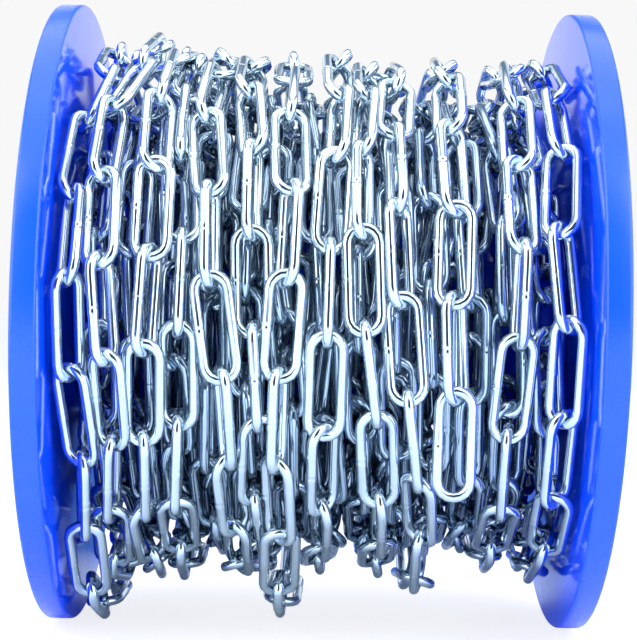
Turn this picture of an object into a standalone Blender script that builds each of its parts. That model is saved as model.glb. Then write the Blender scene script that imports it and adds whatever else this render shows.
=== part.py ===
"""Reel of zinc-plated long-link steel chain, wound between two blue plastic flanges.

Metres, +Z up. The reel lies on its two rims: its axis runs along X, at the height of the
flange radius, and the origin is on the floor under the middle of the axis. The front is -Y.
The winding is laid out about the reel's axis, with angles in degrees from the back, over the
top, to the front, and is lifted to the axis height when its links are made.
"""

import math

import bmesh
import bpy
import numpy as np
from mathutils import Matrix, Vector

MM = 0.001

# Reel
FLANGE_RADIUS = 0.100
FLANGE_GAP = 0.1545            # between the inner faces of the flanges
RIM_THICKNESS = 0.00755
EDGE = 0.0011                  # softened edges of the rims
WEB_THICKNESS = 0.0040
LIP_WIDTH = 0.0080             # raised rim around the outer face of a flange
HUB_RADIUS = 0.0270
BORE_RADIUS = 0.0160           # spindle bore
SPIGOT_LENGTH = 0.0120         # collar of the flange inside the barrel
SPIGOT_WALL = 0.0030
BARREL_RADIUS = 0.0320
BARREL_WALL = 0.0030
RIB_COUNT = 8
RIB_THICKNESS = 0.0024
RIB_DROP = 0.0006              # ribs stay this far below the rim's face
CLEARANCE = 0.0003

# Chain
WIRE = 0.00315
LINK_WIDTH = 0.0126
LINK_LENGTH = 0.0336
SECTION = 0.0028               # side of the square that stands for the round wire
BEARING = 0.0011               # how far neighbouring links sink into each other where they bear
LINK_CORNER = 0.0018           # half of the flat at the crown of a link
LINK_SHOULDER = 0.0040         # length of the slanted corner of a link

# Winding
CORE_RADIUS = 0.0680
JOINT_RADIUS = 0.0810          # of the points where the links of the outer layer meet
TURN_START = -9.8
LAST_TURN_END = 285.0
CROSS_FROM, CROSS_TO = 275.0, 440.0
SLACK_LANES = (0, 6)           # after these lanes the chain hangs under the reel
SLACK_DEPTH = 0.0160
SLACK_MIDDLE = 252.0
SLACK_POWER = 3                # how closely the slack gathers about its middle
SLACK_LINKS = 0.9
TIGHTNESS = 0.2                # share of a link by which the hidden part of a turn is pulled tight
WANDER = 0.0008

# The front of the outer layer as it is seen from EYE, lane by lane from the left flange. Each
# entry is a place where two links meet: its height on the winding in degrees, its place along
# the axis in mm, the roll of the link below it in degrees, and how many mm it stands off the
# layer. A link with no roll ends the chain.
EYE = np.array((-0.00109, -0.54404, -0.00008))
FRONT_RADIUS = 0.0830
LANES = (
    ((80, -62.5, 30, 0), (61, -65.6, 118, 0), (42, -69.5, 42, 0), (24, -71, 122, 0),
     (7.5, -71.8, 55, 0), (-11.3, -71.5, -20, 0), (-30.8, -68.8, 104, 0), (-51.5, -69.8, 15, 4)),
    ((85, -53, 55, 0), (66, -57, -35, 0), (46.8, -62, 55, 0), (27.5, -63.3, -28, 0),
     (10.2, -62.7, 63, 0), (-7.8, -61, -25, 0), (-26, -59, 80, 0), (-45.5, -60.5, 170, 1)),
    ((51, -49, 40, 1), (31, -48.3, 0, 1), (11.8, -48.3, 62, 1), (-7.2, -49.3, 0, 1),
     (-25.8, -50.2, 98, 1), (-44.5, -50.8, 25, 2)),
    ((53, -42.5, 90, -1), (34, -41.5, 0, -4), (15, -39.5, 95, -3), (-3.2, -40.5, -10, -2),
     (-22, -40, 90, -2), (-43, -41.8, 0, 1)),
    ((45, -35.5, -25, 1), (25.5, -32.3, 74, 0), (6.8, -31.8, 0, 0), (-12, -27.8, 108, 0),
     (-31, -25.2, 40, 0), (-49.5, -23.5, 115, 1)),
    ((54, -23, -50, 0), (35.8, -20.5, 72, 0), (16.2, -20, 0, -1.5), (-3, -19, 90, -2),
     (-22, -17.5, 20, -3.5), (-40.5, -18, 110, -2)),
    ((46, -10.3, 15, 0), (26.5, -9, -62, 1), (8, -9.8, 5, 1.5), (-11, -11.5, 73, 1.5),
     (-31, -13, -45, 1.5), (-52, -11.5, 0, 4)),
    ((53, 5, -60, 0), (34.2, 3.8, 8, 0), (14.2, 2.5, 90, 0), (-4.2, 2, 0, 0),
     (-23.3, 1.5, 45, 0), (-42.5, 1.5, 112, 1)),
    ((53, 13, -55, 0), (35.5, 11.5, 66, 0), (17, 11.5, -8, 0), (-2.2, 12.7, 90, 0),
     (-20.5, 16.8, 0, 0), (-40.3, 18.8, 100, 1)),
    ((41, 20, 110, 0), (22, 21, 52, 0), (3.3, 22.5, 0, 0), (-15.5, 25.2, 90, 0),
     (-35, 28.5, -36, 0), (-52, 31, 75, 2)),
    ((43, 37, 46, 0), (22, 38, -10, 0), (3.3, 37.3, 58, 0), (-15.7, 38.8, 0, 0),
     (-36.8, 39.6, None, 11)),
    ((51, 57, -32, -2), (32.8, 56.3, 33, -2), (15, 57, 100, -3.6), (-3.5, 56, 0, -3.6),
     (-23.8, 53.8, 80, -3), (-43, 54.5, 0, -2)),
    ((54, 69, 50, 0), (36, 69.3, -28, 0), (18, 67.5, 50, 0), (-0.8, 70, -40, 0),
     (-19.5, 69.5, 40, 0), (-38.8, 69.5, -20, 1)),
)
FREE_END_LANE = 10             # this lane ends in the free end of the chain

# Settling of the links
ROUNDS = 140
LATE = 0.85                    # from this share of the rounds on, links keep their place loosely
SLIP = 0.00006                 # air between links that touch
LIFT, FRONT_LIFT = 0.0026, 0.0042    # how far joints can rise out of the layer
MOST_LEAN = math.radians(42)   # of a link against square to its neighbour
TWIST_AREA = 22.5e-6           # the larger this is, the less a link twists when it is pushed

RIM_SIDES = 48
BARREL_SIDES = 36

AXIS_HEIGHT = FLANGE_RADIUS
HALF_GAP = FLANGE_GAP / 2
PITCH = LINK_LENGTH - 2 * WIRE
HALF_ACROSS = (LINK_WIDTH - WIRE) / 2
HALF_CORNER = SECTION / math.sqrt(2)

rng = np.random.default_rng(11)


def clear_scene():
    for obj in list(bpy.data.objects):
        bpy.data.objects.remove(obj, do_unlink=True)


def material(name, colour, roughness, metallic):
    mat = bpy.data.materials.new(name)
    mat.use_nodes = True
    shader = mat.node_tree.nodes["Principled BSDF"]
    shader.inputs["Base Color"].default_value = (*colour, 1.0)
    shader.inputs["Roughness"].default_value = roughness
    shader.inputs["Metallic"].default_value = metallic
    return mat


def add_object(name, vertices, faces, mat=None):
    """A closed mesh with its faces turned outwards. Without a material it is a helper."""
    bm = bmesh.new()
    corners = [bm.verts.new(v) for v in vertices]
    for face in faces:
        bm.faces.new([corners[i] for i in face])
    bmesh.ops.recalc_face_normals(bm, faces=bm.faces)
    mesh = bpy.data.meshes.new(name)
    bm.to_mesh(mesh)
    bm.free()
    obj = bpy.data.objects.new(name, mesh)
    bpy.context.collection.objects.link(obj)
    if mat:
        mesh.materials.append(mat)
        mesh.shade_smooth()
        mesh.set_sharp_from_angle(angle=math.radians(30))
    else:
        obj.hide_render = True
        obj.display_type = "WIRE"
    return obj


def combine(obj, helper, operation):
    boolean = obj.modifiers.new(operation.title(), "BOOLEAN")
    boolean.operation = operation
    boolean.use_self = operation == "DIFFERENCE"
    boolean.object = helper


def turned(name, profile, sides, mat):
    """Turns a closed outline of (x, radius) points about the reel's axis.

    A radius is measured to the middle of a side, and one side faces straight down.
    """
    stretch = 1 / math.cos(math.pi / sides)
    vertices = []
    for k in range(sides):
        angle = 2 * math.pi * (k + 0.5) / sides - math.pi / 2
        for x, radius in profile:
            y = radius * stretch * math.cos(angle)
            z = radius * stretch * math.sin(angle)
            vertices.append((x, y, AXIS_HEIGHT + z))
    count = len(profile)
    faces = []
    for k in range(sides):
        here, there = k * count, (k + 1) % sides * count
        for i in range(count):
            j = (i + 1) % count
            faces.append((here + i, here + j, there + j, there + i))
    return add_object(name, vertices, faces, mat)


def flange(name, side, mat):
    """One flange. Its outer face has a raised rim, a hub and ribs around the spindle bore."""
    inner = HALF_GAP
    outer = HALF_GAP + RIM_THICKNESS
    web = HALF_GAP + WEB_THICKNESS
    spigot_radius = BARREL_RADIUS - BARREL_WALL - CLEARANCE
    spigot_bore = spigot_radius - SPIGOT_WALL
    profile = [
        (inner - SPIGOT_LENGTH, spigot_bore),
        (inner - SPIGOT_LENGTH, spigot_radius),
        (inner, spigot_radius),
        (inner, FLANGE_RADIUS - EDGE),
        (inner + EDGE, FLANGE_RADIUS),
        (outer - EDGE, FLANGE_RADIUS),
        (outer, FLANGE_RADIUS - EDGE),
        (outer, FLANGE_RADIUS - LIP_WIDTH),
        (web, FLANGE_RADIUS - LIP_WIDTH),
        (web, HUB_RADIUS),
        (outer, HUB_RADIUS),
        (outer, BORE_RADIUS),
        (inner, BORE_RADIUS),
        (inner, spigot_bore),
    ]
    obj = turned(name, [(side * x, radius) for x, radius in profile], RIM_SIDES, mat)
    combine(obj, flange_ribs(name + "_ribs", side), "UNION")
    return obj


def flange_ribs(name, side):
    sink = WEB_THICKNESS / 2
    low = HALF_GAP + WEB_THICKNESS - sink
    high = HALF_GAP + RIM_THICKNESS - RIB_DROP
    near = HUB_RADIUS - sink
    far = FLANGE_RADIUS - LIP_WIDTH + sink
    half = RIB_THICKNESS / 2
    vertices, faces = [], []
    for k in range(RIB_COUNT):
        turn = Matrix.Rotation(2 * math.pi * (k + 0.5) / RIB_COUNT, 3, "X")
        first = len(vertices)
        for x in (low, high):
            for y, z in ((-half, near), (half, near), (half, far), (-half, far)):
                corner = turn @ Vector((side * x, y, z))
                vertices.append(corner + Vector((0, 0, AXIS_HEIGHT)))
        for face in ((0, 1, 2, 3), (4, 5, 6, 7), (0, 1, 5, 4), (1, 2, 6, 5), (2, 3, 7, 6), (3, 0, 4, 7)):
            faces.append([first + i for i in face])
    return add_object(name, vertices, faces)


def barrel(mat):
    end = HALF_GAP - CLEARANCE
    inside = BARREL_RADIUS - BARREL_WALL
    profile = [(-end, inside), (end, inside), (end, BARREL_RADIUS), (-end, BARREL_RADIUS)]
    return turned("barrel", profile, BARREL_SIDES, mat)


def chain_core(mat):
    """The hidden layers of the winding, as one plain body."""
    end = HALF_GAP - 2 * CLEARANCE
    inside = BARREL_RADIUS + CLEARANCE
    outside = CORE_RADIUS * math.cos(math.pi / BARREL_SIDES)
    profile = [(-end, inside), (end, inside), (end, outside), (-end, outside)]
    return turned("chain_core", profile, BARREL_SIDES, mat)


def smooth(value):
    value = min(max(value, 0.0), 1.0)
    return value * value * (3 - 2 * value)


def seen_point(rise, x, radius):
    """The point on a cylinder of this radius that hides a point of the front, seen from EYE."""
    angle = math.radians(rise)
    there = np.array((x, -FRONT_RADIUS * math.cos(angle), FRONT_RADIUS * math.sin(angle)))
    ray = there - EYE
    a = ray[1] ** 2 + ray[2] ** 2
    b = 2 * (EYE[1] * ray[1] + EYE[2] * ray[2])
    c = EYE[1] ** 2 + EYE[2] ** 2 - radius ** 2
    return EYE + (-b - math.sqrt(max(b * b - 4 * a * c, 0.0))) / (2 * a) * ray


def crossed(degrees):
    """How far a turn has crossed to the next lane. Turns cross under the reel and behind it."""
    past = degrees % 360
    past += 360 if past < 200 else 0
    return smooth((past - CROSS_FROM) / (CROSS_TO - CROSS_FROM))


def slack(degrees, depth):
    nearness = (1 + math.cos(math.radians(degrees % 360 - SLACK_MIDDLE))) / 2
    return depth * nearness ** SLACK_POWER


def front_joints(lane):
    """The joints of a lane that show at the front, as (degrees, x, radius)."""
    joints = []
    for rise, x, _, off in LANES[lane]:
        x, y, z = seen_point(rise, x * MM, JOINT_RADIUS + off * MM)
        angle = math.degrees(math.atan2(z, y)) % 360
        joints.append((360 * lane + angle, x, math.hypot(y, z)))
    return joints


def lead_in(lane, here, roll):
    """From behind the reel, beside the flange, over the top to a lane's first joint at the front."""
    step = math.degrees(PITCH / JOINT_RADIUS)
    count = round((here[0][0] - TURN_START - 360 * lane) / step)
    joints, rolls = [], []
    for k in range(count, 0, -1):
        x = here[-1][1] + (here[0][1] - here[-1][1]) * smooth(1 - k / count)
        joints.append((here[0][0] - step * k, x + rng.normal(0, WANDER), JOINT_RADIUS))
        rolls.append(roll - 90 * k)
    return joints, rolls


def way_round(before, after, start_roll, end_roll, depth):
    """From the last front joint of a lane, under the reel and behind it, to the next lane."""
    span = math.radians(after[0] - before[0]) * (after[2] + before[2]) / 2
    count = round(span / PITCH + (SLACK_LINKS if depth else -TIGHTNESS))
    twist = (end_roll - start_roll - 90 * count + 90) % 180 - 90
    joints, rolls = [], []
    for k in range(1, count):
        share = k / count
        degrees = before[0] + (after[0] - before[0]) * share
        x = before[1] + (after[1] - before[1]) * crossed(degrees)
        radius = before[2] + (after[2] - before[2]) * smooth(3 * share) + slack(degrees, depth)
        joints.append((degrees, x + rng.normal(0, WANDER), radius + rng.normal(0, WANDER)))
        rolls.append(start_roll + (90 * count + twist) * share)
    return joints, rolls


def lead_out(last, roll):
    """From the last front joint of the last lane to the end of the chain under the reel."""
    step = math.degrees(PITCH / JOINT_RADIUS)
    count = math.ceil((360 * (len(LANES) - 1) + LAST_TURN_END - last[0]) / step)
    joints = []
    for k in range(1, count + 1):
        joints.append((last[0] + step * k, last[1] + rng.normal(0, WANDER), JOINT_RADIUS))
    return joints, [roll + 90 * k for k in range(1, count)]


def strand(first, last):
    """One chain through these lanes: its joints, the rolls of its links, and which joints show."""
    joints, rolls, front = [], [], []
    for lane in range(first, last + 1):
        here = front_joints(lane)
        here_rolls = [roll for _, _, roll, _ in LANES[lane] if roll is not None]
        if lane == first:
            hidden = lead_in(lane, here, here_rolls[0])
        else:
            depth = SLACK_DEPTH if lane - 1 in SLACK_LANES else 0.0
            hidden = way_round(joints[-1], here[0], rolls[-1], here_rolls[0], depth)
        joints += hidden[0] + here
        rolls += hidden[1] + here_rolls
        front += [False] * len(hidden[0]) + [True] * len(here)
    if last == len(LANES) - 1:
        hidden = lead_out(joints[-1], rolls[-1])
        joints += hidden[0]
        rolls += hidden[1]
        front += [False] * len(hidden[0])
    return np.array(joints), np.radians(rolls), np.array(front)


def to_points(joints):
    angle = np.radians(joints[:, 0])
    return np.stack((joints[:, 1], joints[:, 2] * np.cos(angle), joints[:, 2] * np.sin(angle)), 1)


def link_axes(start, end, roll):
    """Middle, length direction and width direction of links. With no roll they lie flat."""
    middle = (start + end) / 2
    along = end - start
    along /= np.linalg.norm(along, axis=1, keepdims=True)
    out = middle * (0, 1, 1)
    out -= along * np.sum(out * along, axis=1, keepdims=True)
    out /= np.linalg.norm(out, axis=1, keepdims=True)
    side = np.cross(along, out)
    return middle, along, side * np.cos(roll)[:, None] + out * np.sin(roll)[:, None]


def stretches(middle, along, across):
    """The ends of the straight stretches of the links' centre lines."""
    outline = np.array(link_outline((LINK_LENGTH - WIRE) / 2))
    ends = middle[:, None] + outline[:, :1] * along[:, None] + outline[:, 1:] * across[:, None]
    return ends, np.roll(ends, -1, axis=1)


def closest(p1, q1, p2, q2):
    """Where two straight stretches come closest: the share along each, and the gap."""
    d1, d2, r = q1 - p1, q2 - p2, p1 - p2
    a, e, b = np.sum(d1 * d1, -1), np.sum(d2 * d2, -1), np.sum(d1 * d2, -1)
    c, f = np.sum(d1 * r, -1), np.sum(d2 * r, -1)
    flat = a * e - b * b
    tiny = 1e-6 * a * e
    s = np.where(flat > tiny, np.clip((b * f - c * e) / np.maximum(flat, tiny), 0, 1), 0.5)
    t = (b * s + f) / e
    held = np.clip(t, 0, 1)
    s = np.where(t != held, np.clip((b * held - c) / a, 0, 1), s)
    return s, held, (p1 + d1 * s[..., None]) - (p2 + d2 * held[..., None])


def pairs_near(middle, neighbours):
    """Pairs of links close enough to touch, leaving out neighbours in one chain."""
    gap = np.linalg.norm(middle[:, None] - middle[None], axis=2)
    i, j = np.nonzero(np.triu(gap < LINK_LENGTH, 1) & ~neighbours)
    return i, j


def pushed_apart(points, roll, first, second, pairs):
    """Links that run into each other move and twist out of each other's way."""
    middle, along, across = link_axes(points[first], points[second], roll)
    normal = np.cross(along, across)
    p, q = stretches(middle, along, across)
    i, j = pairs
    s, t, gap = closest(p[i][:, :, None], q[i][:, :, None], p[j][:, None], q[j][:, None])
    distance = np.linalg.norm(gap, axis=-1)
    k, m, n = np.nonzero(distance < WIRE + SLIP)
    distance = np.maximum(distance[k, m, n], MM / 1000)[:, None]
    move = gap[k, m, n] / distance * (WIRE + SLIP - distance) / 2
    shift, weight = np.zeros_like(points), np.zeros(len(points))
    twist, touches = np.zeros(len(first)), np.zeros(len(first))
    for link, push, edge, share in ((i[k], move, m, s), (j[k], -move, n, t)):
        share = share[k, m, n][:, None]
        arm = p[link, edge] + (q[link, edge] - p[link, edge]) * share - middle[link]
        near_start = np.clip(0.5 - np.sum(arm * along[link], 1) / PITCH, 0, 1)
        np.add.at(shift, first[link], push * near_start[:, None])
        np.add.at(shift, second[link], push * (1 - near_start)[:, None])
        np.add.at(weight, first[link], near_start)
        np.add.at(weight, second[link], 1 - near_start)
        lever = np.sum(arm * across[link], 1)
        np.add.at(twist, link, -np.sum(push * normal[link], 1) * lever / TWIST_AREA)
        np.add.at(touches, link, 1)
    points = points + shift / np.maximum(weight, 1)[:, None] * 0.8
    roll = roll + np.clip(twist / np.maximum(touches, 1), -0.1, 0.1)
    return points, roll, p, q


def keep_clear(points, first, second, p, q, lid):
    """Moves links off the flanges, the floor and the core, and joints down to the lid."""
    margin = HALF_CORNER + CLEARANCE
    over = np.maximum(np.abs(p[:, :, 0]).max(1) + margin - HALF_GAP, 0) * np.sign(p[:, :, 0].mean(1))
    rise = np.maximum(margin - AXIS_HEIGHT - p[:, :, 2].min(1), 0)
    inside = np.linalg.norm(np.stack((p, (p + q) / 2))[..., 1:], axis=3).min((0, 2))
    deep = np.maximum(CORE_RADIUS + margin - inside, 0)[:, None]
    for end in (first, second):
        points[end, 0] -= over
        points[end, 2] += rise
        points[end, 1:] *= 1 + deep / JOINT_RADIUS
    radius = np.linalg.norm(points[:, 1:], axis=1)
    points[:, 1:] *= (np.minimum(radius, lid) / radius)[:, None]


def keep_square(roll, joined):
    """Twists neighbouring links back that lean too far against each other."""
    lean = (roll[1:] - roll[:-1]) % np.pi - np.pi / 2
    extra = np.sign(lean) * np.maximum(np.abs(lean) - MOST_LEAN, 0) * joined * 0.4
    roll[1:] -= extra
    roll[:-1] += extra


def keep_lengths(points, first, second):
    for _ in range(8):
        for parity in (0, 1):
            a, b = first[parity::2], second[parity::2]
            line = points[b] - points[a]
            length = np.linalg.norm(line, axis=1, keepdims=True)
            line *= 0.5 * (length - PITCH) / length
            points[a] += line
            points[b] -= line


def settle(strands):
    """Moves the links until they clear each other, the flanges, the core and the floor.

    Joints at the front keep their place as seen from EYE, and only their depth gives way.
    """
    points = np.concatenate([to_points(joints) for joints, _, _ in strands])
    roll = np.concatenate([rolls for _, rolls, _ in strands])
    front = np.concatenate([shown for _, _, shown in strands])
    owner = np.concatenate([np.full(len(rolls), n) for n, (_, rolls, _) in enumerate(strands)])
    first = np.arange(len(roll)) + owner
    second = first + 1
    joined = owner[1:] == owner[:-1]
    neighbours = np.diag(joined, 1)
    firm = front[first] & front[second]
    home, home_roll = points.copy(), roll.copy()
    ray = home - EYE
    ray /= np.linalg.norm(ray, axis=1, keepdims=True)
    lid = np.linalg.norm(home[:, 1:], axis=1) + np.where(front, FRONT_LIFT, LIFT)
    for step in range(ROUNDS):
        late = step > LATE * ROUNDS
        if step % 8 == 0:
            pairs = pairs_near(link_axes(points[first], points[second], roll)[0], neighbours)
        points, roll, p, q = pushed_apart(points, roll, first, second, pairs)
        keep_clear(points, first, second, p, q, lid)
        back = home - points
        depth = np.sum(back * ray, axis=1, keepdims=True) * ray
        pull = np.where(front, 0.06 if late else 0.35, 0.006 if late else 0.02)[:, None]
        points += (back - depth) * pull + depth * (0.006 if late else 0.02)
        roll += (home_roll - roll) * np.where(firm, 0.10 if late else 0.20, 0.03)
        keep_square(roll, joined)
        keep_lengths(points, first, second)
    return link_axes(points[first], points[second], roll)


def link_outline(half_along):
    """The centre line of a link, as (along, across) points."""
    quarter = [(half_along - LINK_SHOULDER, HALF_ACROSS), (half_along, LINK_CORNER)]
    half = quarter + [(x, -y) for x, y in reversed(quarter)]
    return half + [(-x, -y) for x, y in half]


def add_link(vertices, faces, middle, along, across, spare=0.0):
    """A link of square wire. With spare it is that much thicker all round."""
    middle = Vector(middle) + Vector((0, 0, AXIS_HEIGHT))
    along, across = Vector(along), Vector(across)
    thickness = along.cross(across)
    outline = [Vector(point) for point in link_outline((PITCH + SECTION - BEARING) / 2)]
    count = len(outline)
    first = len(vertices)
    half = SECTION / 2 + spare
    for i, point in enumerate(outline):
        before = (point - outline[i - 1]).normalized()
        after = (outline[(i + 1) % count] - point).normalized()
        mitre = Vector((before.y + after.y, -before.x - after.x)).normalized()
        reach = half / mitre.dot(Vector((before.y, -before.x)))
        for out, up in ((1, 1), (-1, 1), (-1, -1), (1, -1)):
            place = point + mitre * reach * out
            vertices.append(middle + along * place.x + across * place.y + thickness * up * half)
    for i in range(count):
        here, there = first + 4 * i, first + 4 * ((i + 1) % count)
        for k in range(4):
            j = (k + 1) % 4
            faces.append((here + k, there + k, there + j, here + j))


def links_object(name, links, axes, mat=None, spare=0.0):
    vertices, faces = [], []
    for link in links:
        add_link(vertices, faces, *(axis[link] for axis in axes), spare)
    return add_object(name, vertices, faces, mat)


def brushes(axes, turn_of):
    """Pairs of links of different turns that meet or brush, the one of the earlier turn first."""
    p, q = stretches(*axes)
    i, j = pairs_near(axes[0], turn_of[:, None] == turn_of)
    gap = closest(p[i][:, :, None], q[i][:, :, None], p[j][:, None], q[j][:, None])[2]
    near = np.linalg.norm(gap, axis=-1).min((1, 2)) < 2 * HALF_CORNER + CLEARANCE
    return i[near], j[near]


def chain_turns(mats):
    """The outer layer, one solid for each turn. Its links bear on each other and are joined.

    Where a turn meets or brushes a later one, it is cut to clear that turn's links.
    """
    strands = [strand(0, FREE_END_LANE), strand(FREE_END_LANE + 1, len(LANES) - 1)]
    axes = settle(strands)
    degrees = np.concatenate([(joints[1:, 0] + joints[:-1, 0]) / 2 for joints, _, _ in strands])
    turn_of = np.floor((degrees - TURN_START) / 360).clip(0, len(LANES) - 1)
    earlier, later = brushes(axes, turn_of)
    for turn, mat in enumerate(mats):
        name = f"chain_turn_{turn + 1:02d}"
        links = np.nonzero(turn_of == turn)[0]
        obj = links_object(name, links[::2], axes, mat)
        combine(obj, links_object(name + "_between", links[1::2], axes), "UNION")
        clear = np.unique(later[turn_of[earlier] == turn])
        if len(clear):
            combine(obj, links_object(name + "_clear", clear, axes, None, CLEARANCE), "DIFFERENCE")
        flat = obj.modifiers.new("Flat faces in one", "DECIMATE")
        flat.decimate_type = "DISSOLVE"
        flat.angle_limit = math.radians(0.5)


def build():
    clear_scene()
    plastic = (0.010, 0.080, 0.850)
    flange("flange_left", -1, material("left_flange_plastic", plastic, 0.18, 0.0))
    flange("flange_right", 1, material("right_flange_plastic", plastic, 0.18, 0.0))
    barrel(material("barrel_plastic", plastic, 0.25, 0.0))
    chain_core(material("hidden_chain", (0.30, 0.34, 0.42), 0.45, 0.9))
    zinc = (0.78, 0.82, 0.88)
    chain_turns([material(f"zinc_steel_{turn + 1:02d}", zinc, 0.25, 1.0) for turn in range(len(LANES))])


build()
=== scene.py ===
"""A reel of zinc-plated steel chain between two blue plastic flanges, on a pale studio floor.

Metres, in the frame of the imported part. The winding is laid out about the reel's axis, with
angles in degrees from the back, over the top, to the front at -Y, and is lifted to the axis
height when its links are made.
"""

import math

import bmesh
import bpy
import numpy as np
from mathutils import Matrix, Vector


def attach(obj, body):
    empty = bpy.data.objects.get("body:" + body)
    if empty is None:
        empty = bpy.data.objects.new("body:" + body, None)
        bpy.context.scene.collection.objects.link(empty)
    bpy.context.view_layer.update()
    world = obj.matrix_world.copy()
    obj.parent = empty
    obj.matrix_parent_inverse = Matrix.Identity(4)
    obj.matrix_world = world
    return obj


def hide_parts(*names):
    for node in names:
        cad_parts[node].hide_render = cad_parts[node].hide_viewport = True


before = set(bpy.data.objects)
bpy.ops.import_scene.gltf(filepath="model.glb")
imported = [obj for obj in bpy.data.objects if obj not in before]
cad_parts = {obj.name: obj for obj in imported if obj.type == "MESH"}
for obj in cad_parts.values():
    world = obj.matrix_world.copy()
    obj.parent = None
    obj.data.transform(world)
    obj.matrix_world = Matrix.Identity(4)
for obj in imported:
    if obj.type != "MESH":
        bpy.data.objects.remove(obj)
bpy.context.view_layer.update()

MM = 0.001

# Reel
FLANGE_RADIUS = 0.100
FLANGE_GAP = 0.1545            # between the inner faces of the flanges
FLANGE_SIDES = 192
RIM_THICKNESS = 0.00755
RIM_ROUND = 0.0011
EDGE_ROUND = 0.0006
SOFT_ROUND = 0.0008            # at the corners of the web and the mouth of the bore
ROUND_STEPS = 4
SHARP_ANGLE = math.radians(35)
WEB_THICKNESS = 0.0040
LIP_WIDTH = 0.0080             # raised rim around the outer face of a flange
SLOPE = MM                     # how far the sides of the lip and the hub lean out
HUB_RADIUS = 0.0270
BORE_RADIUS = 0.0160           # spindle bore
SPIGOT_LENGTH = 0.0120         # collar of the flange inside the barrel
SPIGOT_WALL = 0.0030
BARREL_RADIUS = 0.0320
BARREL_WALL = 0.0030
RIB_COUNT = 8
RIB_THICKNESS = 0.0024
RIB_ROOT, RIB_TOP = 0.6, 0.45  # half of a rib's width there, as a share of its thickness
RIB_SUNK = MM                  # ribs reach this far into what they stand on
RIB_DROP = 0.0006              # ribs stay this far below the rim's face
CLEARANCE = 0.0003

# Chain
WIRE = 0.00315
LINK_WIDTH = 0.0126
LINK_LENGTH = 0.0336
LINK_CORNER = 0.0018           # half of the flat at the crown of a link, as it is laid out
LINK_SHOULDER = 0.0040         # length of the slanted corner of a link, as it is laid out
WELD_PLACES = ((-1.9, 1.0), (-1.1, 1.075), (-0.35, 1.06), (0.0, 0.965), (0.35, 1.06), (1.1, 1.075),
               (1.9, 1.0))     # along the weld in mm, and the wire's thickness there as a share

# Winding
CORE_RADIUS = 0.0680           # the outer layer stays outside this
JOINT_RADIUS = 0.0810          # of the points where the links of the outer layer meet
TURN_START = -9.8
LAST_TURN_END = 285.0
CROSS_FROM, CROSS_TO = 275.0, 440.0    # turns cross to the next lane between these angles
NEXT_TURN = 200.0              # in a crossing, a smaller angle is on the next turn already
SLACK_LANES = (0, 6)           # after these lanes the chain hangs under the reel
SLACK_DEPTH = 0.0210
SLACK_MIDDLE = 252.0
SLACK_POWER = 3                # how closely the slack gathers about its middle
SLACK_LINKS = 0.9
TIGHTNESS = 0.2                # share of a link by which the hidden part of a turn is pulled tight
WANDER = 0.0008

# The front of the outer layer as it is seen from EYE, lane by lane from the left flange. Each
# entry is a place where two links meet: its height on the winding in degrees, its place along
# the axis in mm, the roll of the link below it in degrees, and how many mm it stands off the
# layer. The place with no roll is the free end of the chain.
EYE = np.array((-0.00109, -0.54404, -0.00008))
FRONT_RADIUS = 0.0830
LANES = (
    ((80, -66.5, 30, -1), (61, -65.6, 118, 0), (42, -69.5, 42, 0), (24, -71, 122, 0),
     (7.5, -71.8, 55, 0), (-11.3, -71.5, -20, 0), (-30.8, -68.8, 104, 0), (-51.5, -69.8, 15, 4)),
    ((66, -57, -35, 3), (46.8, -62, 55, 0), (27.5, -63.3, -28, 0),
     (10.2, -62.7, 63, 0), (-7.8, -61, -25, 0), (-26, -59, 80, 0), (-45.5, -60.5, 170, 1)),
    ((71, -47, 90, 2), (51, -49, 40, 1), (31, -48.3, 0, 1), (11.8, -48.3, 62, 1),
     (-7.2, -49.3, 0, 1), (-25.8, -50.2, 98, 1), (-44.5, -50.8, 25, 2)),
    ((71, -40.5, 20, -2), (53, -42.5, 90, -1), (34, -41.5, 0, -4), (15, -39.5, 95, -3),
     (-3.2, -40.5, -10, -2), (-22, -40, 90, -2), (-43, -41.8, 0, 1)),
    ((45, -35.5, -25, 1), (25.5, -32.3, 74, 0), (6.8, -31.8, 0, 0), (-12, -27.8, 108, 0),
     (-31, -25.2, 40, 0), (-49.5, -23.5, 115, 1)),
    ((54, -23, -50, 0), (35.8, -20.5, 72, 0), (16.2, -20, 0, -1.5), (-3, -19, 90, -2),
     (-22, -17.5, 20, -3.5), (-40.5, -18, 110, -2)),
    ((46, -10.3, 15, 0), (26.5, -9, -62, 1), (8, -9.8, 5, 1.5), (-11, -11.5, 73, 1.5),
     (-31, -13, -45, 1.5), (-52, -11.5, 0, 4)),
    ((53, 5, -60, 0), (34.2, 3.8, 8, 0), (14.2, 2.5, 90, 0), (-4.2, 2, 0, 0),
     (-23.3, 1.5, 45, 0), (-42.5, 1.5, 112, 1)),
    ((53, 13, -55, 0), (35.5, 11.5, 66, 0), (17, 11.5, -8, 0), (-2.2, 12.7, 90, 0),
     (-20.5, 16.8, 0, 0), (-40.3, 18.8, 100, 1)),
    ((41, 20, 110, 0), (22, 21, 52, 0), (3.3, 22.5, 0, 0), (-15.5, 25.2, 90, 0),
     (-35, 28.5, -36, 0), (-52, 31, 75, 2)),
    ((43, 37, 46, 0), (22, 38, -10, 0), (3.3, 37.3, 58, 0), (-15.7, 38.8, 0, 0),
     (-36.8, 39.6, None, 11)),
    ((51, 57, -32, -2), (32.8, 56.3, 33, -2), (15, 57, 100, -3.6), (-3.5, 56, 0, -3.6),
     (-23.8, 53.8, 80, -3), (-43, 54.5, 0, -2)),
    ((54, 69, 50, 0), (36, 69.3, -28, 0), (18, 67.5, 50, 0), (-0.8, 70, -40, 0),
     (-19.5, 69.5, 40, 0), (-38.8, 69.5, -20, 1)),
)
FREE_END_LANE = 10             # this lane ends in the free end of the chain

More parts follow.
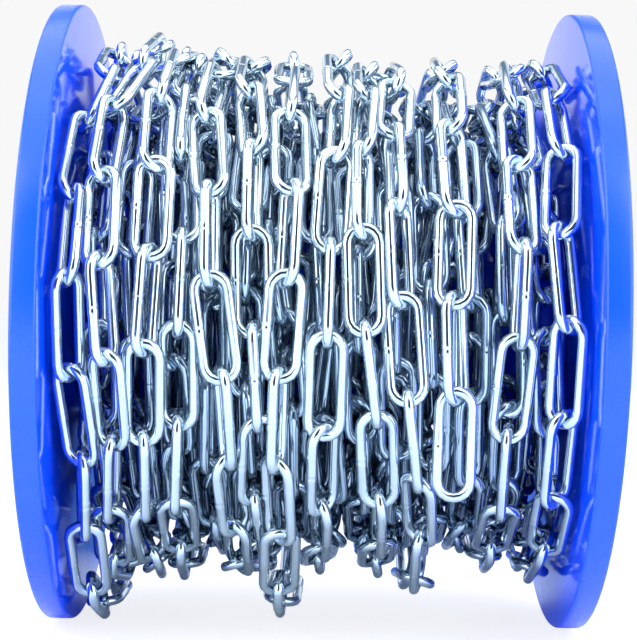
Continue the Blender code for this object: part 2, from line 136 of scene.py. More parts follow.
# Settling of the links. Pairs are for the early and the late rounds.
ROUNDS = 140
LATE = 0.85                    # share of the rounds that are early
PAIRS_EVERY = 8                # rounds between two looks for links near each other
LENGTH_PASSES = 8
SLIP = 0.00006                 # air between links that touch
TINY = MM / 1000
NEARLY_PARALLEL = 1e-6
LIFT, FRONT_LIFT = 0.0026, 0.0042    # how far joints can rise out of the layer
GIVE = 0.8                     # share of its pushes that a joint gives way by
MOST_TWIST = 0.1               # of a link in one round, in radians
TWIST_AREA = 22.5e-6           # the larger this is, the less a link twists when it is pushed
MOST_LEAN = math.radians(42)   # of a link against square to its neighbour
UPRIGHT = 0.4                  # share of a larger lean that each neighbour takes back
HOLD, FRONT_HOLD = (0.02, 0.006), (0.35, 0.06)    # how strongly joints are drawn to their place
ROLL_HOLD, FRONT_ROLL_HOLD = 0.03, (0.20, 0.10)

# Hidden layers
INNER_JOINTS = (0.0688, 0.0598, 0.0510, 0.0425)    # from the second layer inwards
INNER_STARTS = 40              # degrees from the start of one layer to that of the next
INNER_LANES = 13
INNER_EDGE = MM                # between the lanes at the sides and the flanges
INNER_ROUNDS = 60
INNER_SLACK = 0.0105           # how far hidden layers hang into the gaps under the reel
INWARDS = 0.8                  # how strongly links under others give way inwards
LEAST_AWAY = 0.3               # keeps a push in bounds when the way out and inwards cancel out
LANE_WANDER, SIDE_WANDER, OUT_WANDER = 1.5 * MM, 0.7 * MM, 0.9 * MM
ROLL_WANDER = 14

# Meshes of links: the sides of the wire, the steps round a bend, and whether the weld shows
OUTER_DETAIL = (12, 8, True)
INNER_PIECES = (
    ("second_chain", ("chain_core",), (10, 7, True)),
    ("third_chain", (), (8, 6, False)),
    ("fourth_chain", (), (8, 5, False)),
    ("fifth_chain", (), (8, 5, False)),
)

# Looks
ZINC_TINT = (0.62, 0.72, 0.79)
# The hidden layers get a darker copy of the zinc's tint: painted shade, for the shade they lie in
# under the outer layer.
INSIDE_SHADE_TINT = (0.42, 0.53, 0.64)
DULL_PATCH = 0.90              # of zinc, as a share of its tint
ZINC_ROUGHNESS = (0.12, 0.16)
REEL_BLUE = (0.0, 0.066, 1.0)
REEL_ROUGHNESS = (0.07, 0.13)
RIM_ROUGHER = 0.16             # added to it on the outside of the rims
RIM_BLEND = (FLANGE_RADIUS - 0.0009, FLANGE_RADIUS - 0.0003)    # radii where this sets in
NOISE_MIDDLE = (0.3, 0.7)      # most of a noise texture's values

# Room, by the direction from the reel, with X to the right, Y to the back and Z up
BESIDE = (0.32, 0.42)          # sideways from the dark gap between the front boxes
BEHIND = (-0.25, 0.10)         # from the dark front to the room
BACK = (0.88, 0.96)            # from the room to the bright back
BACK_HEIGHT = (0.125, 0.150)   # from the dark foot of the back to its bright part
DARK = (0.045, 0.065, 0.105)
ROOM = (0.19, 0.28, 0.39)
BACK_LIGHT = (0.95, 0.97, 1.0)
BACK_FOOT = (0.010, 0.035, 0.200)
FILL = (0.46, 0.62, 1.20)
BACKDROP = (0.936, 0.937, 0.938)
SIDE_BOXES = (                 # name, azimuth, elevation, distance, size and power
    ("front_box", 51, 15, 1.3, (1.15, 1.8), 21),
    ("side_box", 98, 12, 1.4, (1.0, 1.6), 15),
    ("rear_box", 150, 15, 1.6, (1.0, 1.4), 3),
)
FLOOR_REACH = 40
FLOOR_CHANGE = (0.04, 0.14)    # Y over which the floor, as the reel sees it, turns to painted shade
FLOOR_LIGHT, FLOOR_PAINTED_SHADE = (0.74, 0.80, 0.76), (0.05, 0.12, 0.34)

# Camera at EYE, turned by these angles about Z, X and Y
EYE_TURN = (-0.001, -0.002, -0.020)
LENS = 92.28
SENSOR = 36.0
CLIP = (0.05, 100)

AXIS_HEIGHT = FLANGE_RADIUS
HALF_GAP = FLANGE_GAP / 2
PITCH = LINK_LENGTH - 2 * WIRE
HALF_ACROSS = (LINK_WIDTH - WIRE) / 2
HALF_LENGTH = (LINK_LENGTH - WIRE) / 2
STRAIGHT = HALF_LENGTH - HALF_ACROSS
MARGIN = 0.00228               # from a link's centre line to what it must clear

rng = np.random.default_rng(11)
inner_rng = np.random.default_rng(12)


def smooth(value):
    value = min(max(value, 0.0), 1.0)
    return value * value * (3 - 2 * value)


def seen_point(rise, x, radius):
    """The point on a cylinder of this radius that hides a point of the front, seen from EYE."""
    angle = math.radians(rise)
    there = np.array((x, -FRONT_RADIUS * math.cos(angle), FRONT_RADIUS * math.sin(angle)))
    ray = there - EYE
    a = ray[1] ** 2 + ray[2] ** 2
    b = 2 * (EYE[1] * ray[1] + EYE[2] * ray[2])
    c = EYE[1] ** 2 + EYE[2] ** 2 - radius ** 2
    return EYE + (-b - math.sqrt(max(b * b - 4 * a * c, 0.0))) / (2 * a) * ray


def crossed(degrees):
    """How far a turn has crossed to the next lane. Turns cross under the reel and behind it."""
    past = degrees % 360
    past += 360 if past < NEXT_TURN else 0
    return smooth((past - CROSS_FROM) / (CROSS_TO - CROSS_FROM))


def slack(degrees, depth):
    """How far slack chain hangs out of its layer at this angle."""
    nearness = (1 + math.cos(math.radians(degrees % 360 - SLACK_MIDDLE))) / 2
    return depth * nearness ** SLACK_POWER


def front_joints(lane):
    """The joints of a lane that show at the front, as (degrees, x, radius)."""
    joints = []
    for rise, x, _, off in LANES[lane]:
        x, y, z = seen_point(rise, x * MM, JOINT_RADIUS + off * MM)
        angle = math.degrees(math.atan2(z, y)) % 360
        joints.append((360 * lane + angle, x, math.hypot(y, z)))
    return joints


def lead_in(lane, here, roll):
    """From behind the reel, beside the flange, over the top to the first joint that shows."""
    step = math.degrees(PITCH / JOINT_RADIUS)
    count = round((here[0][0] - TURN_START - 360 * lane) / step)
    joints, rolls = [], []
    for k in range(count, 0, -1):
        x = here[-1][1] + (here[0][1] - here[-1][1]) * smooth(1 - k / count)
        joints.append((here[0][0] - step * k, x + rng.normal(0, WANDER), JOINT_RADIUS))
        rolls.append(roll - 90 * k)
    return joints, rolls


def way_round(before, after, start_roll, end_roll, depth):
    """From the last front joint of a lane, under the reel and behind it, to the next lane."""
    span = math.radians(after[0] - before[0]) * (after[2] + before[2]) / 2
    count = round(span / PITCH + (SLACK_LINKS if depth else -TIGHTNESS))
    twist = (end_roll - start_roll - 90 * count + 90) % 180 - 90
    joints, rolls = [], []
    for k in range(1, count):
        share = k / count
        degrees = before[0] + (after[0] - before[0]) * share
        x = before[1] + (after[1] - before[1]) * crossed(degrees)
        radius = before[2] + (after[2] - before[2]) * smooth(3 * share) + slack(degrees, depth)
        joints.append((degrees, x + rng.normal(0, WANDER), radius + rng.normal(0, WANDER)))
        rolls.append(start_roll + (90 * count + twist) * share)
    return joints, rolls


def lead_out(last, roll):
    """From the last front joint of the last lane to the end of the chain under the reel."""
    step = math.degrees(PITCH / JOINT_RADIUS)
    count = math.ceil((360 * (len(LANES) - 1) + LAST_TURN_END - last[0]) / step)
    joints = []
    for k in range(1, count + 1):
        joints.append((last[0] + step * k, last[1] + rng.normal(0, WANDER), JOINT_RADIUS))
    return joints, [roll + 90 * k for k in range(1, count)]


def strand(first, last):
    """One chain through these lanes: its joints, the rolls of its links, and which joints show."""
    joints, rolls, front = [], [], []
    for lane in range(first, last + 1):
        here = front_joints(lane)
        here_rolls = [roll for _, _, roll, _ in LANES[lane] if roll is not None]
        if lane == first:
            hidden = lead_in(lane, here, here_rolls[0])
        else:
            depth = SLACK_DEPTH if lane - 1 in SLACK_LANES else 0.0
            hidden = way_round(joints[-1], here[0], rolls[-1], here_rolls[0], depth)
        joints += hidden[0] + here
        rolls += hidden[1] + here_rolls
        front += [False] * len(hidden[0]) + [True] * len(here)
    if last == len(LANES) - 1:
        hidden = lead_out(joints[-1], rolls[-1])
        joints += hidden[0]
        rolls += hidden[1]
        front += [False] * len(hidden[0])
    return np.array(joints), np.radians(rolls), np.array(front)


def inner_strand(radius, start, leftwards):
    """A hidden layer: one chain through evenly spaced lanes, wandering a little."""
    width = HALF_GAP - LINK_WIDTH / 2 - INNER_EDGE
    step = math.degrees(PITCH / radius)
    wander = inner_rng.normal(0, LANE_WANDER, INNER_LANES + 2)
    joints, rolls = [], []
    roll = inner_rng.uniform(0, 180)
    for k in range(int(360 * INNER_LANES / step) + 1):
        degrees = start + step * k
        turn, share = divmod(step * k / 360, 1)
        x = ((turn + smooth(share)) / INNER_LANES * 2 - 1) * width
        sway = wander[int(turn)] * math.sin(math.radians(degrees))
        x += sway + inner_rng.normal(0, SIDE_WANDER)
        out = radius + slack(degrees, INNER_SLACK) + inner_rng.normal(0, OUT_WANDER)
        joints.append((degrees, -x if leftwards else x, out))
        roll += 90 + inner_rng.normal(0, ROLL_WANDER)
        rolls.append(roll)
    return np.array(joints), np.radians(rolls[:-1]), np.zeros(len(joints), bool)


def to_points(joints):
    """Points about the axis from joints given as (degrees, x, radius)."""
    angle = np.radians(joints[:, 0])
    return np.stack((joints[:, 1], joints[:, 2] * np.cos(angle), joints[:, 2] * np.sin(angle)), 1)


def link_axes(start, end, roll):
    """Middle, length direction and width direction of links. At roll 0 they lie flat."""
    middle = (start + end) / 2
    along = end - start
    along /= np.linalg.norm(along, axis=1, keepdims=True)
    out = middle * (0, 1, 1)
    out -= along * np.sum(out * along, axis=1, keepdims=True)
    out /= np.linalg.norm(out, axis=1, keepdims=True)
    side = np.cross(along, out)
    return middle, along, side * np.cos(roll)[:, None] + out * np.sin(roll)[:, None]


def stretches(middle, along, across):
    """The ends of the straight stretches of the links' centre lines."""
    quarter = [(HALF_LENGTH - LINK_SHOULDER, HALF_ACROSS), (HALF_LENGTH, LINK_CORNER)]
    half = quarter + [(x, -y) for x, y in reversed(quarter)]
    outline = np.array(half + [(-x, -y) for x, y in half])
    ends = middle[:, None] + outline[:, :1] * along[:, None] + outline[:, 1:] * across[:, None]
    return ends, np.roll(ends, -1, axis=1)


def closest(p1, q1, p2, q2):
    """Where two straight stretches come closest: the share along each, and the gap."""
    d1, d2, r = q1 - p1, q2 - p2, p1 - p2
    a, e, b = np.sum(d1 * d1, -1), np.sum(d2 * d2, -1), np.sum(d1 * d2, -1)
    c, f = np.sum(d1 * r, -1), np.sum(d2 * r, -1)
    flat = a * e - b * b
    tiny = NEARLY_PARALLEL * a * e
    s = np.where(flat > tiny, np.clip((b * f - c * e) / np.maximum(flat, tiny), 0, 1), 0.5)
    t = (b * s + f) / e
    held = np.clip(t, 0, 1)
    s = np.where(t != held, np.clip((b * held - c) / a, 0, 1), s)
    return s, held, (p1 + d1 * s[..., None]) - (p2 + d2 * held[..., None])


def pairs_between(middle, others):
    """Pairs of a link here and a link there that are close enough to touch."""
    return np.nonzero(np.linalg.norm(middle[:, None] - others[None], axis=2) < LINK_LENGTH)


def pairs_near(middle, neighbours):
    """Pairs of links close enough to touch, leaving out neighbours in one chain."""
    gap = np.linalg.norm(middle[:, None] - middle[None], axis=2)
    return np.nonzero(np.triu(gap < LINK_LENGTH, 1) & ~neighbours)


def contacts(links, others, pairs):
    """Where links come too close: which links, the points on them, and the push on the first."""
    p1, q1 = links
    p2, q2 = others
    i, j = pairs
    s, t, gap = closest(p1[i][:, :, None], q1[i][:, :, None], p2[j][:, None], q2[j][:, None])
    distance = np.linalg.norm(gap, axis=-1)
    k, m, n = np.nonzero(distance < WIRE + SLIP)
    s, t = s[k, m, n][:, None], t[k, m, n][:, None]
    distance = np.maximum(distance[k, m, n], TINY)[:, None]
    push = gap[k, m, n] / distance * (WIRE + SLIP - distance)
    i, j = i[k], j[k]
    return i, j, p1[i, m] + (q1[i, m] - p1[i, m]) * s, p2[j, n] + (q2[j, n] - p2[j, n]) * t, push


def give_way(points, roll, first, second, pushes):
    """Moves and twists links by pushes, each a list of links, the points pushed and the moves."""
    middle, along, across = link_axes(points[first], points[second], roll)
    normal = np.cross(along, across)
    shift, weight = np.zeros_like(points), np.zeros(len(points))
    twist, touches = np.zeros(len(first)), np.zeros(len(first))
    for link, place, push in pushes:
        arm = place - middle[link]
        near_start = np.clip(0.5 - np.sum(arm * along[link], 1) / PITCH, 0, 1)
        np.add.at(shift, first[link], push * near_start[:, None])
        np.add.at(shift, second[link], push * (1 - near_start)[:, None])
        np.add.at(weight, first[link], near_start)
        np.add.at(weight, second[link], 1 - near_start)
        lever = np.sum(arm * across[link], 1)
        np.add.at(twist, link, -np.sum(push * normal[link], 1) * lever / TWIST_AREA)
        np.add.at(touches, link, 1)
    points += shift / np.maximum(weight, 1)[:, None] * GIVE
    roll += np.clip(twist / np.maximum(touches, 1), -MOST_TWIST, MOST_TWIST)


def pushed_in(links, outside, pairs):
    """The pushes on links that lie under those of the layer outside them."""
    i, _, place, _, push = contacts(links, outside, pairs)
    out = place * (0, 1, 1)
    size = np.linalg.norm(push, axis=1, keepdims=True)
    away = push / np.maximum(size, TINY)
    away -= INWARDS * out / np.linalg.norm(out, axis=1, keepdims=True)
    away /= np.maximum(np.linalg.norm(away, axis=1, keepdims=True), LEAST_AWAY)
    return i, place, away * size


def keep_clear(points, first, second, p, q, core, lid):
    """Moves links off the flanges, the floor and the core, and joints down to the lid."""
    over = np.maximum(np.abs(p[:, :, 0]).max(1) + MARGIN - HALF_GAP, 0)
    over *= np.sign(p[:, :, 0].mean(1))
    rise = np.maximum(MARGIN - AXIS_HEIGHT - p[:, :, 2].min(1), 0)
    inside = np.linalg.norm(np.stack((p, (p + q) / 2))[..., 1:], axis=3).min((0, 2))
    deep = np.maximum(core + MARGIN - inside, 0)[:, None]
    for end in (first, second):
        points[end, 0] -= over
        points[end, 2] += rise
        points[end, 1:] *= 1 + deep / JOINT_RADIUS
    radius = np.linalg.norm(points[:, 1:], axis=1)
    points[:, 1:] *= (np.minimum(radius, lid) / radius)[:, None]


def keep_square(roll, joined):
    """Twists neighbouring links back that lean too far against each other."""
    lean = (roll[1:] - roll[:-1]) % np.pi - np.pi / 2
    extra = np.sign(lean) * np.maximum(np.abs(lean) - MOST_LEAN, 0) * joined * UPRIGHT
    roll[1:] -= extra
    roll[:-1] += extra


def keep_lengths(points, first, second):
    """Draws the two joints of each link back to its pitch."""
    for _ in range(LENGTH_PASSES):
        for parity in (0, 1):
            a, b = first[parity::2], second[parity::2]
            line = points[b] - points[a]
            length = np.linalg.norm(line, axis=1, keepdims=True)
            line *= 0.5 * (length - PITCH) / length
            points[a] += line
            points[b] -= line


def settle(strands, rounds, core, outside=None):
    """Moves links until they clear each other, the flanges, the core, the floor, and those outside.

    Joints at the front keep their place as seen from EYE, and only their depth gives way.
    """
    points = np.concatenate([to_points(joints) for joints, _, _ in strands])
    roll = np.concatenate([rolls for _, rolls, _ in strands])
    front = np.concatenate([shown for _, _, shown in strands])
    owner = np.concatenate([np.full(len(rolls), n) for n, (_, rolls, _) in enumerate(strands)])
    first = np.arange(len(roll)) + owner
    second = first + 1
    joined = owner[1:] == owner[:-1]
    neighbours = np.diag(joined, 1)
    firm = front[first] & front[second]
    home, home_roll = points.copy(), roll.copy()
    ray = home - EYE
    ray /= np.linalg.norm(ray, axis=1, keepdims=True)
    lid = np.linalg.norm(home[:, 1:], axis=1) + np.where(front, FRONT_LIFT, LIFT)
    for step in range(rounds):
        late = step > LATE * rounds
        axes = link_axes(points[first], points[second], roll)
        p, q = stretches(*axes)
        if step % PAIRS_EVERY == 0:
            pairs = pairs_near(axes[0], neighbours)
            outer_pairs = pairs_between(axes[0], outside[0]) if outside else None
        i, j, place_i, place_j, push = contacts((p, q), (p, q), pairs)
        pushes = [(i, place_i, push / 2), (j, place_j, -push / 2)]
        if outside:
            pushes.append(pushed_in((p, q), stretches(*outside), outer_pairs))
        give_way(points, roll, first, second, pushes)
        keep_clear(points, first, second, p, q, core, lid)
        back = home - points
        depth = np.sum(back * ray, axis=1, keepdims=True) * ray
        pull = np.where(front, FRONT_HOLD[late], HOLD[late])[:, None]
        points += (back - depth) * pull + depth * HOLD[late]
        roll += (home_roll - roll) * np.where(firm, FRONT_ROLL_HOLD[late], ROLL_HOLD)
        keep_square(roll, joined)
        keep_lengths(points, first, second)
    return link_axes(points[first], points[second], roll)


def outer_layer():
    """The axes of its links, and the turn that each belongs to."""
    strands = [strand(0, FREE_END_LANE), strand(FREE_END_LANE + 1, len(LANES) - 1)]
    degrees = np.concatenate([(joints[1:, 0] + joints[:-1, 0]) / 2 for joints, _, _ in strands])
    turn_of = np.floor((degrees - TURN_START) / 360).clip(0, len(LANES) - 1)
    return settle(strands, ROUNDS, CORE_RADIUS), turn_of


def inner_layers(outer):
    """The axes of the links of each hidden layer, from the second one inwards."""
    layers, outside = [], outer
    for n, radius in enumerate(INNER_JOINTS):
        strands = [inner_strand(radius, INNER_STARTS * n, n % 2 == 1)]
        outside = settle(strands, INNER_ROUNDS, BARREL_RADIUS, outside)
        layers.append(outside)
    return layers


def link_line(bend_steps, welded):
    """The centre line of a link as (along, across, share of the wire's thickness)."""
    line = []
    for end in (1, -1):
        for k in range(bend_steps + 1):
            angle = math.pi * k / bend_steps
            place = STRAIGHT + HALF_ACROSS * math.sin(angle)
            line.append((end * place, end * HALF_ACROSS * math.cos(angle), 1.0))
        if end == 1:
            line.append((0.0, -HALF_ACROSS, 1.0))
        elif welded:
            line += [(place * MM, HALF_ACROSS, share) for place, share in WELD_PLACES]
    return np.array(line)


def link_mesh(axes, chosen, sides, bend_steps, welded):
    """Vertices and faces of the chosen links, one after another."""
    line = link_line(bend_steps, welded)
    count = len(line)
    tangent = (np.roll(line, -1, axis=0) - np.roll(line, 1, axis=0))[:, :2]
    tangent /= np.linalg.norm(tangent, axis=1, keepdims=True)
    ring = (np.arange(sides) + 0.5) * 2 * math.pi / sides
    reach = line[:, 2:] * WIRE / 2
    u = line[:, 0:1] + tangent[:, 1:2] * reach * np.cos(ring)
    v = line[:, 1:2] - tangent[:, 0:1] * reach * np.cos(ring)
    w = reach * np.sin(ring)
    index = np.arange(count * sides).reshape(count, sides)
    ahead = np.roll(index, -1, axis=0)
    quads = np.stack((index, ahead, np.roll(ahead, -1, axis=1), np.roll(index, -1, axis=1)), -1)
    quads = quads.reshape(-1, 4)
    vertices, faces = [], []
    for n, (middle, along, across) in enumerate(zip(*(axis[chosen] for axis in axes))):
        normal = np.cross(along, across)
        body = middle + u[..., None] * along + v[..., None] * across + w[..., None] * normal
        vertices.append(body.reshape(-1, 3) + (0, 0, AXIS_HEIGHT))
        faces.append(quads + n * count * sides)
    return np.concatenate(vertices), np.concatenate(faces)


def mesh_object(name, vertices, faces, mat):
    """A smooth mesh with its faces turned outwards."""
    mesh = bpy.data.meshes.new(name)
    mesh.from_pydata([tuple(v) for v in vertices], [], [tuple(f) for f in faces])
    bm = bmesh.new()
    bm.from_mesh(mesh)
    bmesh.ops.recalc_face_normals(bm, faces=bm.faces)
    bm.to_mesh(mesh)
    bm.free()
    mesh.materials.append(mat)
    mesh.shade_smooth()
    obj = bpy.data.objects.new(name, mesh)
    bpy.context.collection.objects.link(obj)
    return obj


class Nodes:
    """Short hands for building a node tree. Sockets are named with _ for a space."""

    def __init__(self, tree):
        self.tree = tree
        self.shader = tree.nodes.get("Principled BSDF")

    def set(self, node, **values):
        for key, value in values.items():
            node.inputs[key.replace("_", " ")].default_value = value

    def add(self, kind, **values):
        node = self.tree.nodes.new("ShaderNode" + kind)
        self.set(node, **values)
        return node

    def link(self, out, into):
        self.tree.links.new(out, into)

    def axes(self, space):
        """The sockets X, Y and Z of a place or a direction."""
        place, parts = self.add("TexCoord"), self.add("SeparateXYZ")
        self.link(place.outputs[space], parts.inputs[0])
        return parts.outputs

    def noise(self, scale, detail, roughness=0.5):
        place = self.add("TexCoord")
        node = self.add("TexNoise", Scale=scale, Detail=detail, Roughness=roughness)
        self.link(place.outputs["Object"], node.inputs["Vector"])
        return node.outputs["Fac"]

    def ramp(self, value, *stops):
        """A colour by value, from (place, colour) stops."""
        node = self.add("ValToRGB")
        for element, (place, colour) in zip(node.color_ramp.elements, stops):
            element.position = place
            element.color = (*colour, 1.0)
        self.link(value, node.inputs["Fac"])
        return node.outputs["Color"]

    def span(self, value, limits, to=(0.0, 1.0), eased=False):
        """Spreads a value between two limits to the range between two others."""
        low, high = limits
        node = self.add("MapRange", From_Min=low, From_Max=high, To_Min=to[0], To_Max=to[1])
        if eased:
            node.interpolation_type = "SMOOTHSTEP"
        self.link(value, node.inputs["Value"])
        return node.outputs["Result"]

    def calculate(self, operation, *values):
        node = self.add("Math")
        node.operation = operation
        for socket, value in zip(node.inputs, values):
            if isinstance(value, float):
                socket.default_value = value
            else:
                self.link(value, socket)
        return node.outputs[0]

    def bump(self, height, strength, distance):
        node = self.add("Bump", Strength=strength, Distance=distance)
        self.link(height, node.inputs["Height"])
        self.link(node.outputs["Normal"], self.shader.inputs["Normal"])

    def background(self, colour):
        return self.add("Background", Color=(*colour, 1)).outputs["Background"]

    def mix(self, share, first, second):
        """Two shaders mixed. At share 1 only the second is seen."""
        node = self.add("MixShader")
        for value, socket in zip((share, first, second), node.inputs):
            self.link(value, socket)
        return node.outputs["Shader"]


def new_material(name):
    """A material, and the short hands for its node tree."""
    material = bpy.data.materials.new(name)
    material.use_nodes = True
    return material, Nodes(material.node_tree)


def zinc(name, tint):
    """Bright zinc plating, with slightly dull patches and uneven gloss."""
    material, n = new_material(name)
    n.set(n.shader, Metallic=1.0)
    shades = tuple(DULL_PATCH * c for c in tint), tint
    patches = n.ramp(n.noise(scale=90.0, detail=2.0), *zip(NOISE_MIDDLE, shades))
    n.link(patches, n.shader.inputs["Base Color"])
    gloss = n.span(n.noise(scale=260.0, detail=1.0), NOISE_MIDDLE, ZINC_ROUGHNESS)
    n.link(gloss, n.shader.inputs["Roughness"])
    n.bump(n.noise(scale=500.0, detail=1.0, roughness=0.4), strength=0.04, distance=0.0002)
    return material


def plastic(name, colour):
    """Glossy moulded plastic with a faint cloudiness, less glossy on the outside of the rims."""
    material, n = new_material(name)
    cloud = n.noise(scale=16.0, detail=4.0, roughness=0.55)
    bright = tuple(min(1.0, c * 1.12 + 0.004) for c in colour)
    n.link(n.ramp(cloud, (0.35, colour), (0.65, bright)), n.shader.inputs["Base Color"])
    place = n.axes("Object")
    from_axis = n.calculate("SUBTRACT", place["Z"], AXIS_HEIGHT)
    squares = n.calculate("ADD", n.calculate("POWER", place["Y"], 2.0),
                          n.calculate("POWER", from_axis, 2.0))
    rim = n.span(n.calculate("SQRT", squares), RIM_BLEND, (0.0, RIM_ROUGHER))
    rough = n.span(n.noise(scale=60.0, detail=3.0), NOISE_MIDDLE, REEL_ROUGHNESS)
    n.link(n.calculate("ADD", rim, rough), n.shader.inputs["Roughness"])
    n.set(n.shader, IOR=1.5)
    n.bump(n.noise(scale=90.0, detail=3.0), strength=0.05, distance=0.0006)
    return material


def rounded(profile):
    """Rounds the corners of a closed outline of (x, radius, rounding) points."""
    outline = []
    for i, (x, y, size) in enumerate(profile):
        here = Vector((x, y))
        before = (Vector(profile[i - 1][:2]) - here).normalized()
        after = (Vector(profile[(i + 1) % len(profile)][:2]) - here).normalized()
        for k in range(ROUND_STEPS + 1 if size else 1):
            t = k / ROUND_STEPS
            point = here + size * ((1 - t) ** 2 * before + t ** 2 * after)
            outline.append((point.x, point.y))
    return outline


def turned(name, outline, sides, mat):
    """Turns a closed outline of (x, radius) points about the reel's axis."""
    vertices, faces = [], []
    count = len(outline)
    for k in range(sides):
        angle = 2 * math.pi * k / sides - math.pi / 2
        for x, radius in outline:
            vertices.append((x, radius * math.cos(angle), AXIS_HEIGHT + radius * math.sin(angle)))
    for k in range(sides):
        here, there = k * count, (k + 1) % sides * count
        for i in range(count):
            j = (i + 1) % count
            faces.append((here + i, here + j, there + j, there + i))
    obj = mesh_object(name, vertices, faces, mat)
    obj.data.set_sharp_from_angle(angle=SHARP_ANGLE)
    return obj


def flange(name, side, mat):
    """A flange with its rim, web, hub and bore, and the collar that sits in the barrel."""
    inner = HALF_GAP
    outer = HALF_GAP + RIM_THICKNESS
    web = HALF_GAP + WEB_THICKNESS
    collar = BARREL_RADIUS - BARREL_WALL - CLEARANCE
    bore = collar - SPIGOT_WALL
    profile = [
        (inner - SPIGOT_LENGTH, bore, EDGE_ROUND),
        (inner - SPIGOT_LENGTH, collar, EDGE_ROUND),
        (inner, collar, 0),
        (inner, FLANGE_RADIUS, RIM_ROUND),
        (outer, FLANGE_RADIUS, RIM_ROUND),
        (outer, FLANGE_RADIUS - LIP_WIDTH, EDGE_ROUND),
        (web, FLANGE_RADIUS - LIP_WIDTH - SLOPE, SOFT_ROUND),
        (web, HUB_RADIUS + SLOPE, SOFT_ROUND),
        (outer, HUB_RADIUS, EDGE_ROUND),
        (outer, BORE_RADIUS, SOFT_ROUND),
        (inner, BORE_RADIUS, 0),
        (inner, bore, 0),
    ]
    return turned(name, [(side * x, radius) for x, radius in rounded(profile)], FLANGE_SIDES, mat)


def flange_ribs(name, side, mat):
    """Ribs on the outer face of a flange, a little thinner at the top than at the root."""
    low = HALF_GAP + WEB_THICKNESS - RIB_SUNK
    high = HALF_GAP + RIM_THICKNESS - RIB_DROP
    near, far = HUB_RADIUS - RIB_SUNK, FLANGE_RADIUS - LIP_WIDTH + RIB_SUNK
    block = ((0, 1, 2, 3), (4, 5, 6, 7), (0, 1, 5, 4), (1, 2, 6, 5), (2, 3, 7, 6), (3, 0, 4, 7))
    vertices, faces = [], []
    for k in range(RIB_COUNT):
        turn = Matrix.Rotation(2 * math.pi * (k + 0.5) / RIB_COUNT, 3, "X")
        first = len(vertices)
        for x, half in ((low, RIB_ROOT * RIB_THICKNESS), (high, RIB_TOP * RIB_THICKNESS)):
            for y, z in ((-half, near), (half, near), (half, far), (-half, far)):
                vertices.append(turn @ Vector((side * x, y, z)) + Vector((0, 0, AXIS_HEIGHT)))
        for face in block:
            faces.append([first + i for i in face])
    return mesh_object(name, vertices, faces, mat)


def finish_piece(obj, slot, *nodes):
    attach(obj, "root")
    if nodes:
        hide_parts(*nodes)


def build_reel():
    blue = plastic("reel_plastic", REEL_BLUE)
    for side, name in ((-1, "flange_left"), (1, "flange_right")):
        finish_piece(flange(name + "_disc", side, blue), "blue_plastic", name)
        finish_piece(flange_ribs(name + "_ribs", side, blue), "blue_plastic")
    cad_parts["barrel"].data.materials.clear()
    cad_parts["barrel"].data.materials.append(blue)


def build_chain():
    bright = zinc("zinc_plated_steel", ZINC_TINT)
    # Painted shade: the hidden layers use a darker copy of the zinc.
    deep = zinc("zinc_plated_steel_painted_shade", INSIDE_SHADE_TINT)
    outer, turn_of = outer_layer()
    for n in range(len(LANES)):
        name = f"chain_turn_{n + 1:02d}"
        obj = mesh_object(name + "_links", *link_mesh(outer, turn_of == n, *OUTER_DETAIL), bright)
        finish_piece(obj, "zinc_steel", name)
    for axes, (name, nodes, detail) in zip(inner_layers(outer), INNER_PIECES):
        obj = mesh_object(name, *link_mesh(axes, slice(None), *detail), deep)
        finish_piece(obj, "hidden_chain", *nodes)


def area_light(name, location, size, power):
    """A box light that faces the middle of the reel."""
    data = bpy.data.lights.new(name, "AREA")
    data.shape = "RECTANGLE"
    data.size, data.size_y = size
    data.energy = power
    ray = Vector((0, 0, AXIS_HEIGHT)) - Vector(location)
    obj = bpy.data.objects.new(name, data)
    obj.location = location
    obj.rotation_euler = ray.to_track_quat("-Z", "Y").to_euler()
    bpy.context.collection.objects.link(obj)


def at(azimuth, elevation, distance):
    """A place round the reel. Azimuth 0 is towards the camera, and 90 to its right."""
    a, e = math.radians(azimuth), math.radians(elevation)
    return (distance * math.sin(a) * math.cos(e), -distance * math.cos(a) * math.cos(e),
            AXIS_HEIGHT + distance * math.sin(e))


def floor_material():
    """Near white where the camera sees it. To the reel it is matt, with painted shade behind it
    that stands for the reel's shadow.
    """
    material, n = new_material("studio_floor")
    n.set(n.shader, Roughness=0.9, Base_Color=(0.22, 0.22, 0.225, 1),
          Emission_Color=(1, 1, 1.005, 1), Emission_Strength=0.80)
    # Painted shadow of the reel on the floor behind it, seen only in reflections and bounced light
    behind = n.span(n.axes("Object")["Y"], FLOOR_CHANGE)
    matt = n.add("BsdfDiffuse")
    n.link(n.ramp(behind, (0.0, FLOOR_LIGHT), (1.0, FLOOR_PAINTED_SHADE)), matt.inputs["Color"])
    path = n.add("LightPath")
    seen = n.mix(path.outputs["Is Camera Ray"], matt.outputs["BSDF"], n.shader.outputs["BSDF"])
    n.link(seen, n.tree.nodes["Material Output"].inputs["Surface"])
    return material


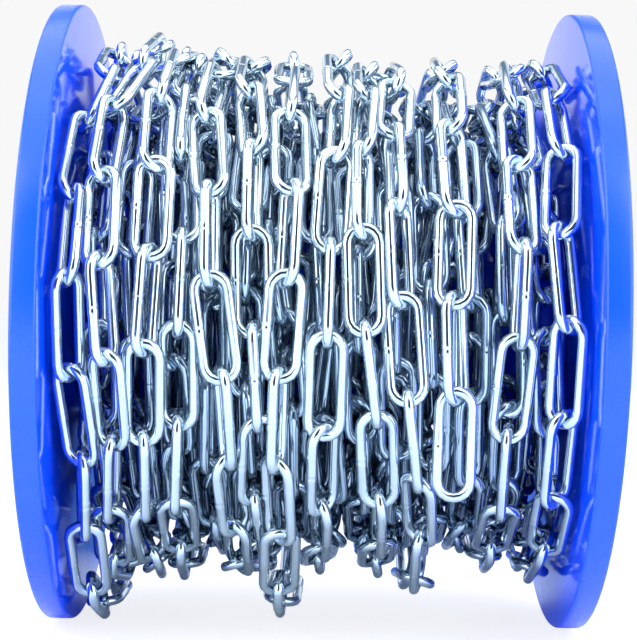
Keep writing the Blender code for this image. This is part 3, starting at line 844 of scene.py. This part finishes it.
def build_world():
    """Seen directly the room is near white.

    In reflections the gap between the front boxes and the foot of the back are dark. Matt
    surfaces get a bluish fill.
    """
    world = bpy.context.scene.world or bpy.data.worlds.new("studio")
    bpy.context.scene.world = world
    world.use_nodes = True
    world.node_tree.nodes.clear()
    n = Nodes(world.node_tree)
    way = n.axes("Generated")
    beside = n.span(n.calculate("ABSOLUTE", way["X"]), BESIDE, eased=True)
    behind = n.span(way["Y"], BEHIND, eased=True)
    high = n.span(way["Z"], BACK_HEIGHT, eased=True)
    back = n.mix(high, n.background(BACK_FOOT), n.background(BACK_LIGHT))
    room = n.mix(n.span(way["Y"], BACK, eased=True), n.background(ROOM), back)
    studio = n.mix(n.calculate("MAXIMUM", beside, behind), n.background(DARK), room)
    path = n.add("LightPath")
    soft = n.mix(path.outputs["Is Diffuse Ray"], studio, n.background(FILL))
    seen = n.mix(path.outputs["Is Camera Ray"], soft, n.background(BACKDROP))
    n.link(seen, n.add("OutputWorld").inputs["Surface"])


def build_floor():
    reach = FLOOR_REACH
    corners = [(-reach, -reach, 0), (reach, -reach, 0), (reach, reach, 0), (-reach, reach, 0)]
    mesh = bpy.data.meshes.new("floor")
    mesh.from_pydata(corners, [], [(0, 1, 2, 3)])
    floor = bpy.data.objects.new("floor", mesh)
    bpy.context.collection.objects.link(floor)
    mesh.materials.append(floor_material())


def build_studio():
    for side in (-1, 1):
        for name, azimuth, elevation, distance, size, power in SIDE_BOXES:
            area_light(f"{name}_{side}", at(side * azimuth, elevation, distance), size, power)
    area_light("top_box", (0, 0.30, 1.45), (1.8, 1.3), 13)
    area_light("top_front_box", at(0, 62, 1.3), (1.4, 0.9), 6)
    build_floor()
    build_world()
    bpy.context.scene.view_settings.view_transform = "Standard"


def build_camera():
    yaw, pitch, roll = EYE_TURN
    turn = (Matrix.Rotation(yaw, 3, "Z") @ Matrix.Rotation(pitch, 3, "X")
            @ Matrix.Rotation(roll, 3, "Y"))
    right, ahead, up = turn.col[0], turn.col[1], turn.col[2]
    data = bpy.data.cameras.new("camera")
    data.lens = LENS
    data.sensor_width = SENSOR
    data.clip_start, data.clip_end = CLIP
    camera = bpy.data.objects.new("camera", data)
    place = Matrix((right, up, -ahead)).transposed().to_4x4()
    place.translation = Vector(EYE) + Vector((0, 0, AXIS_HEIGHT))
    camera.matrix_world = place
    bpy.context.collection.objects.link(camera)
    bpy.context.scene.camera = camera


build_camera()
build_studio()
build_reel()
build_chain()
